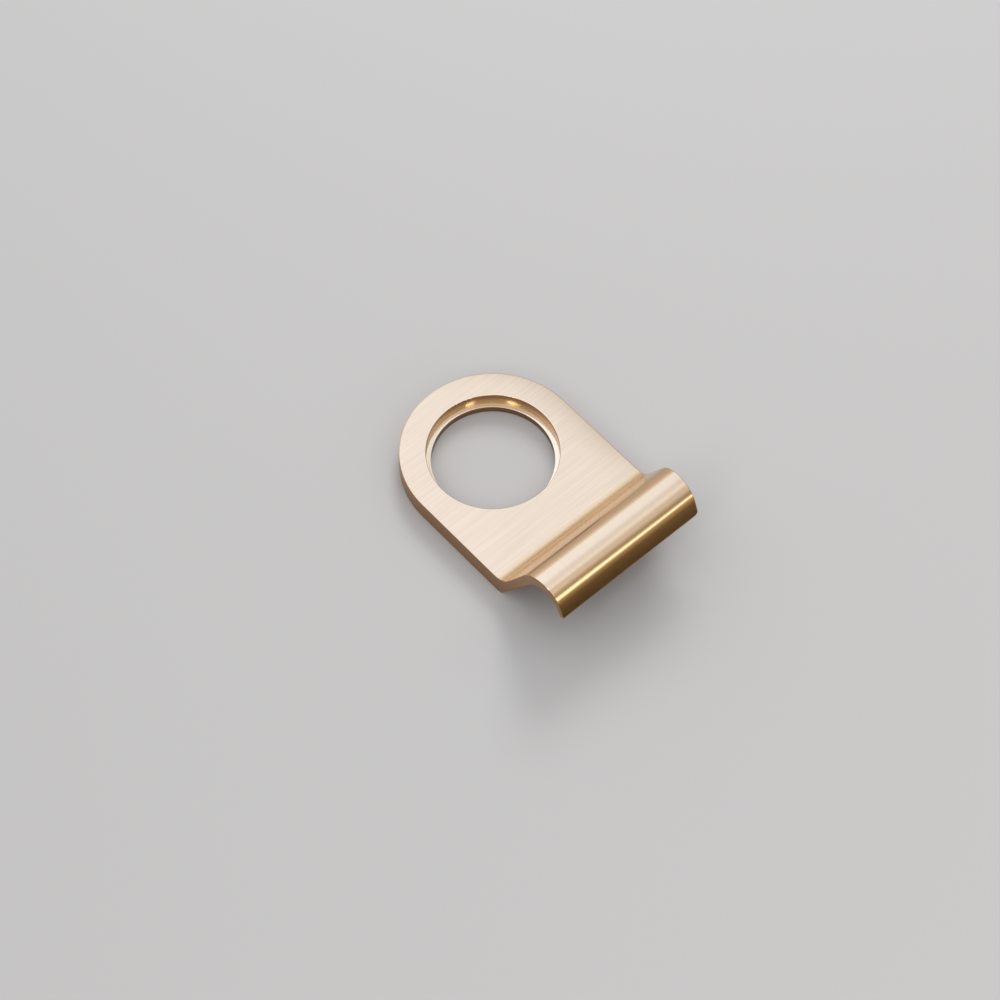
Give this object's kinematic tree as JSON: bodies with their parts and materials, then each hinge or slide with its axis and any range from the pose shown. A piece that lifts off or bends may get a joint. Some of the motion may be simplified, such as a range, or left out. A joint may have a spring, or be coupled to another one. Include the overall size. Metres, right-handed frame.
{
  "type": "cylinder pull",
  "caption": "Cast brass cylinder pull: a round-topped door plate with a stepped hole for a rim lock cylinder and a curled lip for the fingers.",
  "frame": {"origin": "axis of the cylinder hole, on the plate's back face", "axes": "+X across the plate, +Y up the plate from the lip to the round top, +Z out from the door along the hole's axis"},
  "size_m": [0.05, 0.0786, 0.0228],
  "materials": {
    "satin_brass": "satin, brushed"
  },
  "bodies": {
    "root": {"cylinder_pull": "satin_brass"}
  },
  "joints": []
}
